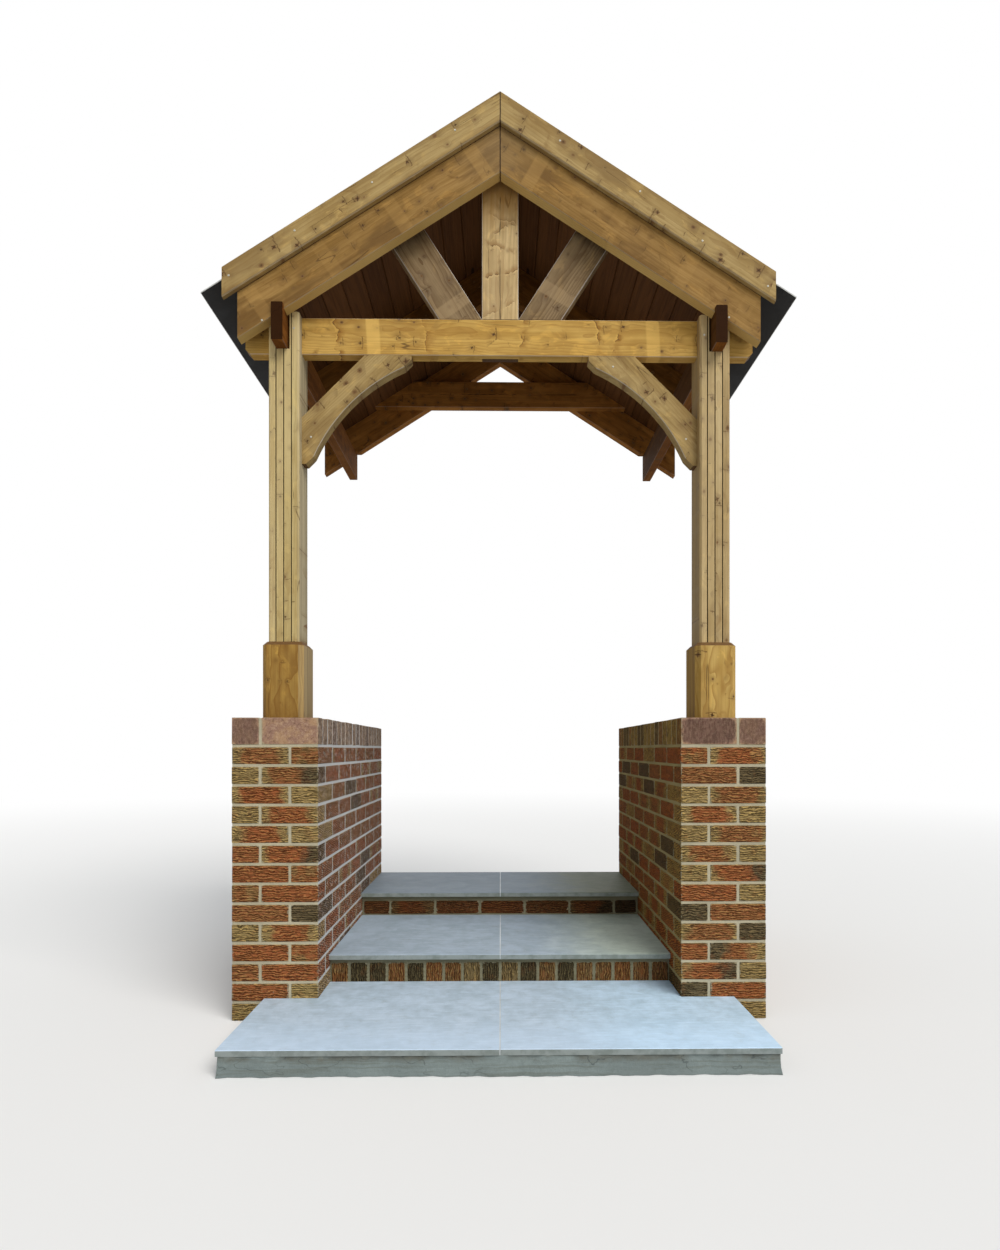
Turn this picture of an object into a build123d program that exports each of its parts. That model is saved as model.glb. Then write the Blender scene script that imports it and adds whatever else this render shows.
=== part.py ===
from build123d import *
import math
import os

# Timber porch canopy on two dwarf brick walls, with a flight of three steps between them.
# X runs to the right as the porch is seen, Y runs from the front towards the house wall, Z is up.
# The origin lies on the lowest ground, in the middle of the porch's width and depth.

# Masonry, in brick sizes
brick_length = 215.0
brick_width = 102.5
brick_height = 65.0
mortar_joint = 10.0
course_count = 14
opening_width = 1385.0
plinth_length = 1350.0

# Steps
tread_thickness = 20.0
tread_nosing = 20.0
tread_edge = 2.0
slab_joint = 4.0
lower_tread_top = 85.0
middle_tread_top = 200.0
upper_tread_top = 315.0
lower_tread_return = 204.0
step_projection = 440.0
lower_tread_run = 160.0
middle_tread_run = 630.0
step_bed_inset = 5.0

# Posts and the boxed blocks round their feet
post_size = 120.0
post_setback = 75.0
post_inset = 9.0
post_laminations = 4
post_arris = 7.0
post_slot_clearance = 8.0
post_base_margin = 20.0
post_base_height = 300.0
post_base_corner = 18.0
post_base_bevel = 14.0

# Joinery timber
timber_thickness = 45.0
timber_depth = 145.0
timber_arris = 2.5
v_joint_width = 4.0
v_joint_depth = 3.0
plate_underside = 2600.0
purlin_projection = 60.0
tie_stub_length = 103.0
tie_end_chamfer = 18.0
brace_leg = 250.0
brace_blank_width = 142.0
brace_nib = 16.0
brace_land = 45.0
brace_arc_rise = 46.0
collar_drop = 280.0

# Roof
roof_pitch = 32.7
rafter_depth = 150.0
rafter_heel = 72.0
rafter_overhang = 133.0
bargeboard_thickness = 20.0
bargeboard_arris = 4.0
slate_overhang = 52.0
ceiling_thickness = 20.0
ceiling_board_cover = 100.0
ceiling_groove_width = 8.0
ceiling_groove_depth = 5.0
deck_thickness = 49.0
eaves_sheet_thickness = 4.0
eaves_sheet_overhang = 140.0
batten_width = 38.0
batten_thickness = 12.0
slate_course_count = 6
slate_head = 4.0
slate_tail = 10.0
ridge_cap_flap = 105.0
ridge_cap_thickness = 4.0

# What follows from them
brick_course = brick_height + mortar_joint
plinth_width = brick_length + mortar_joint + brick_width
plinth_height = course_count * brick_course
coping_height = brick_width
coping_top = plinth_height + coping_height
plinth_x = (opening_width + plinth_width) / 2
wall_y = (plinth_length + step_projection) / 2
plinth_front = wall_y - plinth_length
plinth_inner = plinth_x - plinth_width / 2
step_front = plinth_front - step_projection
middle_nosing_y = plinth_front + lower_tread_run
middle_riser_y = middle_nosing_y + tread_nosing
upper_nosing_y = middle_nosing_y + middle_tread_run
upper_riser_y = upper_nosing_y + tread_nosing

post_x = plinth_x - post_inset
post_front = plinth_front + post_setback
post_back = post_front + post_size
post_inner = post_x - post_size / 2
lamination = post_size / post_laminations
plate_top = plate_underside + timber_depth
purlin_outer = post_x + post_size / 2 - lamination
purlin_inner = purlin_outer - timber_thickness
purlin_x = (purlin_inner + purlin_outer) / 2
purlin_front = post_front - purlin_projection
plate_middle = plate_underside + timber_depth / 2
tie_half_length = post_x + post_size / 2 + tie_stub_length
tie_front = post_front + (post_size - timber_thickness) / 2
tie_back = tie_front + timber_thickness
lap_depth = timber_thickness / 2
lap_y = tie_back - lap_depth

slope = math.tan(math.radians(roof_pitch))
plumb = 1 / math.cos(math.radians(roof_pitch))
seat_start = purlin_outer - rafter_heel
rafter_tail = purlin_outer + rafter_overhang
ridge_underside = plate_top + slope * seat_start
collar_underside = ridge_underside - collar_drop
ridge_rafter_top = ridge_underside + rafter_depth * plumb
sheet_level = ceiling_thickness + deck_thickness
batten_level = sheet_level + eaves_sheet_thickness
slate_level = batten_level + batten_thickness
bargeboard_depth = slate_level + slate_tail
bargeboard_tail = rafter_tail + slate_overhang
front_rafter_y = post_front - timber_thickness
bargeboard_y = front_rafter_y - bargeboard_thickness
wall_rafter_y = wall_y - timber_thickness
collar_y = wall_rafter_y - timber_thickness
middle_rafter_y = (tie_front + wall_rafter_y) / 2
eaves_sheet_tail = rafter_tail + eaves_sheet_overhang


def roof_point(x, height):
    """A point at this X, and at this height square to the slope above the rafters' top edges."""
    return (x, ridge_rafter_top - slope * x + height * plumb)


def rafter_underside(x):
    """Height of a rafter's lower edge at this X."""
    return ridge_underside - slope * x


def across(y):
    """Plane of a profile that is drawn in X and Z, for a piece whose front face stands at this Y."""
    return Plane.XZ.offset(-y)


down_slope = Axis((0, 0, 0), (1, 0, -slope))
square_to_slope = Axis((0, 0, 0), (slope, 0, 1))


# Dwarf walls, a brick and a half wide, each topped by a course of bricks on edge
with BuildPart() as plinth_right:
    with BuildSketch():
        with Locations((plinth_x, plinth_front + plinth_length / 2)):
            Rectangle(plinth_width, plinth_length)
    extrude(amount=plinth_height)

with BuildPart() as coping_right:
    with BuildSketch(Plane.XY.offset(plinth_height)):
        with Locations((plinth_x, plinth_front + plinth_length / 2)):
            Rectangle(plinth_width, plinth_length)
    extrude(amount=coping_height)

# Steps: a mortar bed, two risers of brickwork and three treads, each tread of two slabs
lower_tread_side = plinth_inner + lower_tread_return
bed_side = lower_tread_side - step_bed_inset
bed_front = step_front + step_bed_inset
with BuildPart() as lower_step_bed:
    with BuildSketch():
        with BuildLine():
            Polyline(
                (-bed_side, bed_front),
                (bed_side, bed_front),
                (bed_side, plinth_front),
                (plinth_inner, plinth_front),
                (plinth_inner, middle_riser_y),
                (-plinth_inner, middle_riser_y),
                (-plinth_inner, plinth_front),
                (-bed_side, plinth_front),
                close=True,
            )
        make_face()
    extrude(amount=lower_tread_top - tread_thickness)

with BuildPart() as middle_step_brickwork:
    with BuildSketch():
        with Locations((0, (middle_riser_y + upper_riser_y) / 2)):
            Rectangle(opening_width, upper_riser_y - middle_riser_y)
    extrude(amount=middle_tread_top - tread_thickness)

with BuildPart() as upper_step_brickwork:
    with BuildSketch():
        with Locations((0, (upper_riser_y + wall_y) / 2)):
            Rectangle(opening_width, wall_y - upper_riser_y)
    extrude(amount=upper_tread_top - tread_thickness)

# The lowest slabs are notched round the front corners of the dwarf walls
with BuildPart() as lower_tread_right:
    with BuildSketch(Plane.XY.offset(lower_tread_top - tread_thickness)):
        with BuildLine():
            Polyline(
                (slab_joint / 2, step_front),
                (lower_tread_side, step_front),
                (lower_tread_side, plinth_front),
                (plinth_inner, plinth_front),
                (plinth_inner, middle_riser_y),
                (slab_joint / 2, middle_riser_y),
                close=True,
            )
        make_face()
    extrude(amount=tread_thickness)
    chamfer(lower_tread_right.edges().group_by(Axis.Z)[-1].sort_by(Axis.Y)[0], tread_edge)


def tread_block(width, front, back, top):
    """One slab of a tread, from the middle joint outwards, with its front arris taken off."""
    with BuildPart() as slab:
        with BuildSketch(Plane.XY.offset(top - tread_thickness)):
            with Locations(((width + slab_joint / 2) / 2, (front + back) / 2)):
                Rectangle(width - slab_joint / 2, back - front)
        extrude(amount=tread_thickness)
        chamfer(slab.edges().group_by(Axis.Z)[-1].sort_by(Axis.Y)[0], tread_edge)
    return slab


middle_tread_right = tread_block(plinth_inner, middle_nosing_y, upper_riser_y, middle_tread_top)
upper_tread_right = tread_block(plinth_inner, upper_nosing_y, wall_y, upper_tread_top)

# Posts: four laminations with V joints on the front and back, slotted at the top for the
# purlin from front to back and for the tie beam from side to side
with BuildPart() as post_right:
    with BuildSketch(Plane.XY.offset(coping_top)) as post_section:
        with Locations((post_x, post_front + post_size / 2)):
            Rectangle(post_size, post_size)
        chamfer(post_section.vertices(), post_arris)
        for joint in range(1, post_laminations):
            joint_x = post_inner + joint * lamination
            for face_y, inward in ((post_front, 1), (post_back, -1)):
                with BuildLine():
                    Polyline(
                        (joint_x - v_joint_width / 2, face_y),
                        (joint_x + v_joint_width / 2, face_y),
                        (joint_x, face_y + inward * v_joint_depth),
                        close=True,
                    )
                make_face(mode=Mode.SUBTRACT)
    extrude(amount=plate_top - coping_top)
    with BuildSketch(Plane.XY.offset(plate_underside)):
        with Locations((purlin_outer, post_front + post_size / 2)):
            Rectangle(
                timber_thickness + post_slot_clearance,
                post_size,
                align=(Align.MAX, Align.CENTER),
            )
        with Locations((post_x, (tie_front + tie_back) / 2)):
            Rectangle(post_size, timber_thickness)
    extrude(amount=timber_depth, mode=Mode.SUBTRACT)

# Boxed block round the foot of each post, with bevelled top
post_base_size = post_size + 2 * post_base_margin
with BuildPart() as post_base_right:
    with BuildSketch(Plane.XY.offset(coping_top)) as base_section:
        with Locations((post_x, post_front + post_size / 2)):
            Rectangle(post_base_size, post_base_size)
        chamfer(base_section.vertices(), post_base_corner)
    extrude(amount=post_base_height)
    chamfer(post_base_right.faces().sort_by(Axis.Z)[-1].edges(), post_base_bevel)
    with BuildSketch(Plane.XY.offset(coping_top)):
        with Locations((post_x, post_front + post_size / 2)):
            Rectangle(post_size, post_size)
    extrude(amount=post_base_height, mode=Mode.SUBTRACT)

# Purlins, from in front of the posts back to the wall, halved from above at the tie beam
with BuildPart() as purlin_right:
    with BuildSketch(Plane.YZ.offset(purlin_inner)):
        with Locations(((purlin_front + wall_y) / 2, plate_middle)):
            Rectangle(wall_y - purlin_front, timber_depth)
        with Locations(((tie_front + tie_back) / 2, plate_top)):
            Rectangle(
                timber_thickness,
                timber_depth / 2,
                align=(Align.CENTER, Align.MAX),
                mode=Mode.SUBTRACT,
            )
    extrude(amount=timber_thickness)
    for level in (0, -1):
        chamfer(purlin_right.edges().filter_by(Axis.Y).group_by(Axis.Z)[level], timber_arris)

# Tie beam, halved from below over both purlins and housed at the back for the king post
with BuildPart() as tie_beam:
    with BuildSketch(across(tie_front)):
        with BuildLine():
            Polyline(
                (-tie_half_length, plate_top),
                (-tie_half_length, plate_underside + tie_end_chamfer),
                (-tie_half_length + tie_end_chamfer, plate_underside),
                (tie_half_length - tie_end_chamfer, plate_underside),
                (tie_half_length, plate_underside + tie_end_chamfer),
                (tie_half_length, plate_top),
                close=True,
            )
        make_face()
        with Locations((-purlin_x, plate_underside), (purlin_x, plate_underside)):
            Rectangle(
                timber_thickness,
                timber_depth / 2,
                align=(Align.CENTER, Align.MIN),
                mode=Mode.SUBTRACT,
            )
    extrude(amount=-timber_thickness)
    for level in (0, -1):
        chamfer(tie_beam.edges().filter_by(Axis.X).group_by(Axis.Z)[level], timber_arris)
    with BuildSketch(across(lap_y)):
        with Locations((0, plate_middle)):
            Rectangle(timber_depth, timber_depth)
    extrude(amount=-lap_depth, mode=Mode.SUBTRACT)

# King post, pointed under the two slopes of boards; its lower end is halved to fit behind the tie beam
king_half = timber_depth / 2
with BuildPart() as king_post:
    with BuildSketch(across(tie_front)):
        with BuildLine():
            Polyline(
                (-king_half, plate_underside),
                (king_half, plate_underside),
                roof_point(king_half, 0),
                roof_point(0, 0),
                (-king_half, roof_point(king_half, 0)[1]),
                close=True,
            )
        make_face()
    extrude(amount=-timber_thickness)
    chamfer(king_post.edges().filter_by(Axis.Z), timber_arris)
    with BuildSketch(across(tie_front)):
        with Locations((0, plate_middle)):
            Rectangle(timber_depth, timber_depth)
    extrude(amount=-lap_depth, mode=Mode.SUBTRACT)

# Struts, square to the roof slope, from the tie beam beside the king post up to the boards
strut_foot = timber_depth * plumb
strut_reach = (roof_point(king_half, 0)[1] - plate_top) / (slope + 1 / slope)
strut_reach_outer = (roof_point(king_half + strut_foot, 0)[1] - plate_top) / (slope + 1 / slope)
with BuildPart() as strut_right:
    with BuildSketch(across(tie_front)):
        with BuildLine():
            Polyline(
                (king_half, plate_top),
                (king_half + strut_foot, plate_top),
                roof_point(king_half + strut_foot + strut_reach_outer, 0),
                roof_point(king_half + strut_reach, 0),
                close=True,
            )
        make_face()
    extrude(amount=-timber_thickness)
    chamfer(strut_right.edges().filter_by(square_to_slope), timber_arris)

# Knee braces: 45 degree blanks with a hollow curve between two straight lands on the inner edge
brace_corner_x = post_inner
brace_drop = brace_leg + brace_blank_width * math.sqrt(2)
land_step = brace_land / math.sqrt(2)
rise_step = brace_arc_rise / math.sqrt(2)
arc_foot = (brace_corner_x - brace_nib - land_step, plate_underside - brace_drop + brace_nib + land_step)
arc_head = (brace_corner_x - brace_drop + brace_nib + land_step, plate_underside - brace_nib - land_step)
arc_middle = (
    (arc_foot[0] + arc_head[0]) / 2 + rise_step,
    (arc_foot[1] + arc_head[1]) / 2 + rise_step,
)
with BuildPart() as knee_brace_right:
    with BuildSketch(across(tie_front)):
        with BuildLine():
            Polyline(
                arc_foot,
                (brace_corner_x - brace_nib, plate_underside - brace_drop + brace_nib),
                (brace_corner_x, plate_underside - brace_drop + brace_nib),
                (brace_corner_x, plate_underside - brace_leg),
                (brace_corner_x - brace_leg, plate_underside),
                (brace_corner_x - brace_drop + brace_nib, plate_underside),
                (brace_corner_x - brace_drop + brace_nib, plate_underside - brace_nib),
                arc_head,
            )
            ThreePointArc(arc_head, arc_middle, arc_foot)
        make_face()
    extrude(amount=-timber_thickness)
    chamfer(knee_brace_right.edges().filter_by(GeomType.CIRCLE), timber_arris)


# Rafters: plumb cut at ridge and tail, notched over the purlins
def rafter(y, notch):
    """The right-hand rafter of a pair, cut by the outline of its notch over the purlin."""
    with BuildPart() as piece:
        with BuildSketch(across(y)):
            with BuildLine():
                Polyline(
                    (0, rafter_underside(0)),
                    (rafter_tail, rafter_underside(rafter_tail)),
                    roof_point(rafter_tail, 0),
                    roof_point(0, 0),
                    close=True,
                )
            make_face()
            with BuildLine():
                Polyline(*notch, close=True)
            make_face(mode=Mode.SUBTRACT)
        extrude(amount=-timber_thickness)
        chamfer(piece.edges().filter_by(down_slope), timber_arris)
    return piece


# The seat of a notch is level with the purlin's top; its heel stands against the purlin's outer side
birdsmouth = [
    (seat_start, plate_top),
    (purlin_outer, plate_top),
    (purlin_outer, rafter_underside(purlin_outer) - timber_thickness),
]
front_notch = [
    (purlin_inner, plate_top),
    (purlin_outer, plate_top),
    (purlin_outer, rafter_underside(purlin_outer) - timber_thickness),
    (purlin_inner, rafter_underside(purlin_outer) - timber_thickness),
]
front_rafter_right = rafter(front_rafter_y, front_notch)
middle_rafter_right = rafter(middle_rafter_y, birdsmouth)
wall_rafter_right = rafter(wall_rafter_y, birdsmouth)

# Collar on the front faces of the wall rafters: its ends are cut to the roof slope, and a V joint
# runs along the middle of its front
collar_top = collar_underside + timber_depth
collar_middle = collar_underside + timber_depth / 2
collar_bottom_x = (ridge_rafter_top - collar_underside) / slope
collar_top_x = (ridge_rafter_top - collar_top) / slope
with BuildPart() as wall_collar:
    with BuildSketch(across(collar_y)):
        with BuildLine():
            Polyline(
                (-collar_bottom_x, collar_underside),
                (collar_bottom_x, collar_underside),
                (collar_top_x, collar_top),
                (-collar_top_x, collar_top),
                close=True,
            )
        make_face()
    extrude(amount=-timber_thickness)
    chamfer(wall_collar.edges().filter_by(Axis.X), timber_arris)
    with BuildSketch(Plane.YZ.offset(-collar_bottom_x)):
        with BuildLine():
            Polyline(
                (collar_y, collar_middle - v_joint_width / 2),
                (collar_y, collar_middle + v_joint_width / 2),
                (collar_y + v_joint_depth, collar_middle),
                close=True,
            )
        make_face()
    extrude(amount=2 * collar_bottom_x, mode=Mode.SUBTRACT)


def slope_layer(y, tail, low, high):
    """A layer of the right-hand slope, plumb cut at the ridge and at its tail, back to the wall."""
    with BuildPart() as layer:
        with BuildSketch(across(y)):
            with BuildLine():
                Polyline(
                    roof_point(0, low),
                    roof_point(tail, low),
                    roof_point(tail, high),
                    roof_point(0, high),
                    close=True,
                )
            make_face()
        extrude(amount=-(wall_y - y))
    return layer


# Bargeboards cover the front ends of the ceiling boards and of the roof deck
with BuildPart() as bargeboard_right:
    with BuildSketch(across(bargeboard_y)):
        with BuildLine():
            Polyline(
                roof_point(0, 0),
                roof_point(bargeboard_tail, 0),
                roof_point(bargeboard_tail, bargeboard_depth),
                roof_point(0, bargeboard_depth),
                close=True,
            )
        make_face()
    extrude(amount=-bargeboard_thickness)
    front_edges = bargeboard_right.edges().filter_by(down_slope).group_by(Axis.Y)[0]
    chamfer(front_edges.sort_by(Axis.Z)[0], bargeboard_arris)

# Ceiling boards run from front to back on the rafters, with a V joint between one and the next
board_step = ceiling_board_cover / plumb
groove_half = ceiling_groove_width / plumb / 2
ceiling_line = [roof_point(0, 0)]
board_edge = board_step
while board_edge + groove_half < rafter_tail:
    ceiling_line.append(roof_point(board_edge - groove_half, 0))
    ceiling_line.append(roof_point(board_edge, ceiling_groove_depth))
    ceiling_line.append(roof_point(board_edge + groove_half, 0))
    board_edge += board_step
ceiling_line.append(roof_point(rafter_tail, 0))
ceiling_line.append(roof_point(rafter_tail, ceiling_thickness))
ceiling_line.append(roof_point(0, ceiling_thickness))
with BuildPart() as ceiling_boards_right:
    with BuildSketch(across(front_rafter_y)):
        with BuildLine():
            Polyline(*ceiling_line, close=True)
        make_face()
    extrude(amount=-(wall_y - front_rafter_y))

# The deck ends with the rafter tails; the thin sheet on it runs on past the slates at the eaves
roof_deck_right = slope_layer(front_rafter_y, rafter_tail, ceiling_thickness, sheet_level)
eaves_sheet_right = slope_layer(front_rafter_y, eaves_sheet_tail, sheet_level, batten_level)

# Slates in courses on battens, each tail lying over the head of the course below
slate_gauge = bargeboard_tail / slate_course_count
batten_run = batten_width / plumb
slate_line = [roof_point(0, slate_level)]
for course in range(slate_course_count):
    slate_line.append(roof_point(course * slate_gauge, slate_level + slate_head))
    slate_line.append(roof_point((course + 1) * slate_gauge, slate_level + slate_tail))
slate_line.append(roof_point(bargeboard_tail, slate_level))
with BuildPart() as slates_right:
    with BuildSketch(across(front_rafter_y)):
        with BuildLine():
            Polyline(*slate_line, close=True)
        make_face()
        for course in range(slate_course_count):
            batten_end = (course + 1) * slate_gauge - slate_overhang / 2
            with BuildLine():
                Polyline(
                    roof_point(batten_end, batten_level),
                    roof_point(batten_end, slate_level),
                    roof_point(batten_end - batten_run, slate_level),
                    roof_point(batten_end - batten_run, batten_level),
                    close=True,
                )
            make_face()
    extrude(amount=-(wall_y - front_rafter_y))

# Ridge cap, folded over the top course on both slopes
flap_x = ridge_cap_flap / plumb
flap_height = slate_level + slate_head + (slate_tail - slate_head) * flap_x / slate_gauge
cap_side = [
    roof_point(flap_x, flap_height),
    roof_point(flap_x, flap_height + ridge_cap_thickness),
]
with BuildPart() as ridge_cap:
    with BuildSketch(across(front_rafter_y)):
        with BuildLine():
            Polyline(
                roof_point(0, slate_level + slate_head),
                cap_side[0],
                cap_side[1],
                roof_point(0, slate_level + slate_head + ridge_cap_thickness),
                (-cap_side[1][0], cap_side[1][1]),
                (-cap_side[0][0], cap_side[0][1]),
                close=True,
            )
        make_face()
    extrude(amount=-(wall_y - front_rafter_y))

# The left-hand pieces mirror the right-hand ones
os.makedirs("parts", exist_ok=True)

pairs = {
    "plinth": plinth_right,
    "coping": coping_right,
    "lower_tread": lower_tread_right,
    "middle_tread": middle_tread_right,
    "upper_tread": upper_tread_right,
    "post": post_right,
    "post_base": post_base_right,
    "purlin": purlin_right,
    "strut": strut_right,
    "knee_brace": knee_brace_right,
    "front_rafter": front_rafter_right,
    "middle_rafter": middle_rafter_right,
    "wall_rafter": wall_rafter_right,
    "bargeboard": bargeboard_right,
    "ceiling_boards": ceiling_boards_right,
    "roof_deck": roof_deck_right,
    "eaves_sheet": eaves_sheet_right,
    "slates": slates_right,
}
for name, right_piece in pairs.items():
    right_piece.part.label = f"{name}_right"
    export_step(right_piece.part, f"parts/{name}_right.step")
    with BuildPart() as left_piece:
        mirror(right_piece.part, about=Plane.YZ)
    left_piece.part.label = f"{name}_left"
    export_step(left_piece.part, f"parts/{name}_left.step")

single_pieces = {
    "lower_step_bed": lower_step_bed,
    "middle_step_brickwork": middle_step_brickwork,
    "upper_step_brickwork": upper_step_brickwork,
    "tie_beam": tie_beam,
    "king_post": king_post,
    "wall_collar": wall_collar,
    "ridge_cap": ridge_cap,
}
for name, piece in single_pieces.items():
    piece.part.label = name
    export_step(piece.part, f"parts/{name}.step")
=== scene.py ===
"""Porch canopy on two dwarf brick walls: bricks, mortar, slates, screws and finishes over the frame."""
import math
import bmesh
import bpy
import numpy as np
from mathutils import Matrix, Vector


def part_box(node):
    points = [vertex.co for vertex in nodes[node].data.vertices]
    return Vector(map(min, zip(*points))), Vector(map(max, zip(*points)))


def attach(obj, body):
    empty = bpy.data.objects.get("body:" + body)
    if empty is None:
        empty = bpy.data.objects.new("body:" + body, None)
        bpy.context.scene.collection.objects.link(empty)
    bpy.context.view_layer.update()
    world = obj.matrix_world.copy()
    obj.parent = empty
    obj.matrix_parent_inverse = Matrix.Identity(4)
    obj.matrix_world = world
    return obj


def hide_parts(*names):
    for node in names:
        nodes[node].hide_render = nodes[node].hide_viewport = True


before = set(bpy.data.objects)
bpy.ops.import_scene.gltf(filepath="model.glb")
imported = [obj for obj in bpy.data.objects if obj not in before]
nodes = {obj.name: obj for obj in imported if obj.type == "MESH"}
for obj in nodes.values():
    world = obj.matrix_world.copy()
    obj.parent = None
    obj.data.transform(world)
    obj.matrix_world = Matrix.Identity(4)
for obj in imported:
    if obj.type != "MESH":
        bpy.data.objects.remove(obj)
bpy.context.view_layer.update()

scene = bpy.context.scene
scene.view_settings.view_transform = "Standard"

# Sizes in metres, as in the part's source
brick_length, brick_width, brick_height, joint = 0.215, 0.1025, 0.065, 0.010
course, pitch_along, course_count, coping_count = 0.075, 0.225, 14, 18
shortest_brick, longest_header = 0.02, 0.15
brick_arris, ripple_pitch, front_recess, side_recess = 0.003, 0.0092, 0.0022, 0.0015
middle_bed, upper_bed, first_upper_brick = 0.018, 0.024, 0.125
ceiling_thickness, board_cover = 0.020, 0.100
post_half, lamination = 0.06, 0.03
slate_thickness, slate_bed, slate_rows = 0.005, 0.085, 6
sides = (("left", -1), ("right", 1))
plinth_low, plinth_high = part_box("plinth_right")
plinth_inner, plinth_front = plinth_low[:2]
plinth_outer, wall_y, plinth_top = plinth_high
roof_angle = math.radians(32.7)
slope_cos, slope_sin = math.cos(roof_angle), math.sin(roof_angle)
rafter_top_at_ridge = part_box("ceiling_boards_right")[1][2] - ceiling_thickness / slope_cos
bargeboard_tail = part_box("bargeboard_right")[1][0]
slate_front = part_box("slates_right")[0][1]

# Camera at the place from which the porch is seen, with its lens and the off-centre frame
photo_width, photo_height = 1000, 1250
focal, centre_across, centre_down = 667.8, 508.6, 749.2
camera_turn = math.radians(0.667)
camera_data = bpy.data.cameras.new("camera")
camera_data.sensor_width = 36.0
camera_data.lens = 36.0 * focal / photo_height
camera_data.shift_x = -(centre_across - photo_width / 2) / photo_height
camera_data.shift_y = (centre_down - photo_height / 2) / photo_height
camera = bpy.data.objects.new("camera", camera_data)
camera.location = (0.0026, -3.0038, 1.0321)
camera.rotation_euler = (math.radians(90), 0, -camera_turn)
scene.collection.objects.link(camera)
scene.camera = camera


class Value:
    """A shader socket; arithmetic on it adds Math nodes."""

    def __init__(self, finish, socket):
        self.finish, self.socket = finish, socket

    def math(self, operation, *others):
        inputs = dict(enumerate((self, *others)))
        return self.finish.node("ShaderNodeMath", {"operation": operation}, inputs)

    def __add__(self, other):
        return self.math("ADD", other)

    def __sub__(self, other):
        return self.math("SUBTRACT", other)

    def __rsub__(self, other):
        return self.finish.node("ShaderNodeMath", {"operation": "SUBTRACT"}, {0: other, 1: self})

    def __mul__(self, other):
        return self.math("MULTIPLY", other)

    def __truediv__(self, other):
        return self.math("DIVIDE", other)

    def __pow__(self, other):
        return self.math("POWER", other)

    def __abs__(self):
        return self.math("ABSOLUTE")

    __radd__ = __add__
    __rmul__ = __mul__


class Finish:
    """A finish in the making: its nodes, and the shader that they feed."""

    def __init__(self, owner):
        owner.use_nodes = True
        self.owner, self.tree = owner, owner.node_tree
        self.shader = self.tree.nodes.get("Principled BSDF")

    def node(self, kind, settings=None, inputs=None, output=0):
        """Adds a node: its settings first, then a value or a link for each of its sockets."""
        made = self.tree.nodes.new(kind)
        for key, value in (settings or {}).items():
            setattr(made, key, value)
        for key, value in (inputs or {}).items():
            if isinstance(value, Value):
                self.tree.links.new(value.socket, made.inputs[key])
            else:
                made.inputs[key].default_value = value
        return Value(self, made.outputs[output])

    def parts(self, vector):
        """The three components of a vector."""
        made = self.node("ShaderNodeSeparateXYZ", None, {0: vector}).socket.node
        return [Value(self, socket) for socket in made.outputs]

    def vector(self, x, y, z):
        return self.node("ShaderNodeCombineXYZ", None, {0: x, 1: y, 2: z})

    def vectors(self, operation, a, b, output=0):
        return self.node("ShaderNodeVectorMath", {"operation": operation}, {0: a, 1: b}, output)

    def dot(self, vector, direction):
        return self.vectors("DOT_PRODUCT", vector, tuple(direction), "Value")

    def length(self, vector):
        return self.vectors("LENGTH", vector, (0, 0, 0), "Value")

    def stretch(self, vector, scales):
        return self.vectors("MULTIPLY", vector, scales)

    def normal(self):
        return self.node("ShaderNodeNewGeometry", None, None, "Normal")

    def cells(self, vector, scale, output=0):
        return self.node("ShaderNodeTexVoronoi", None, {"Vector": vector, "Scale": scale}, output)

    def lot(self, number):
        """A chance value for each whole number."""
        return self.node("ShaderNodeTexWhiteNoise", {"noise_dimensions": "1D"}, {"W": number})

    def noise(self, vector, scale=1.0, detail=2.0, rough=0.5, twist=0.0):
        """Noise at one scale, or at one for each axis."""
        if isinstance(scale, tuple):
            vector, scale = self.stretch(vector, scale), 1.0
        inputs = {"Vector": vector, "Scale": scale, "Detail": detail, "Roughness": rough}
        return self.node("ShaderNodeTexNoise", None, {**inputs, "Distortion": twist})

    def smooth(self, value, low, high):
        """Rises from 0 at low to 1 at high, or falls where low is the larger."""
        inputs = {"Value": value, "From Min": low, "From Max": high}
        return self.node("ShaderNodeMapRange", {"interpolation_type": "SMOOTHSTEP"}, inputs)

    def mix(self, factor, a, b, blend="MIX"):
        """Colour a where the factor is 0, colour b where it is 1."""
        a, b = (c if isinstance(c, Value) else (*c, 1.0) for c in (a, b))
        settings = {"data_type": "RGBA", "blend_type": blend}
        return self.node("ShaderNodeMix", settings, {0: factor, 6: a, 7: b}, 2)

    def lay(self, colour, *layers):
        """Lays tones over a colour: each comes with its mask and, where the mask rises from 0 at low to 1
        at high, with low, high and a strength; a blend may end the row."""
        for tone, mask, *rest in layers:
            if len(rest) > 1:
                low, high, strength, *rest = rest
                mask = self.smooth(mask, low, high) * strength
            colour = self.mix(mask, colour, tone, *rest)
        return colour

    def attribute(self, name, output="Fac"):
        return self.node("ShaderNodeAttribute", {"attribute_name": name}, None, output)

    def finish(self, colour, roughness, height, depth):
        """Links colour, roughness and relief to the shader."""
        bump = self.node("ShaderNodeBump", None, {"Strength": 1.0, "Distance": depth, "Height": height})
        for name, value in (("Base Color", colour), ("Roughness", roughness), ("Normal", bump)):
            if isinstance(value, Value):
                self.tree.links.new(value.socket, self.shader.inputs[name])
            else:
                self.shader.inputs[name].default_value = value
        return self.owner


def new_finish(name, gloss, metal=0.0):
    """A finish with its gloss, and the place on the piece for its patterns."""
    made = Finish(bpy.data.materials.new(name))
    made.shader.inputs["Specular IOR Level"].default_value = gloss
    made.shader.inputs["Metallic"].default_value = metal
    return made, made.node("ShaderNodeTexCoord", output="Object")


def scaled(colour, *factors):
    """A colour times one factor, or times one for each of red, green and blue, at most 1."""
    factors = factors * 3 if len(factors) == 1 else factors
    return tuple(min(1.0, c * k) for c, k in zip(colour, factors))


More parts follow.
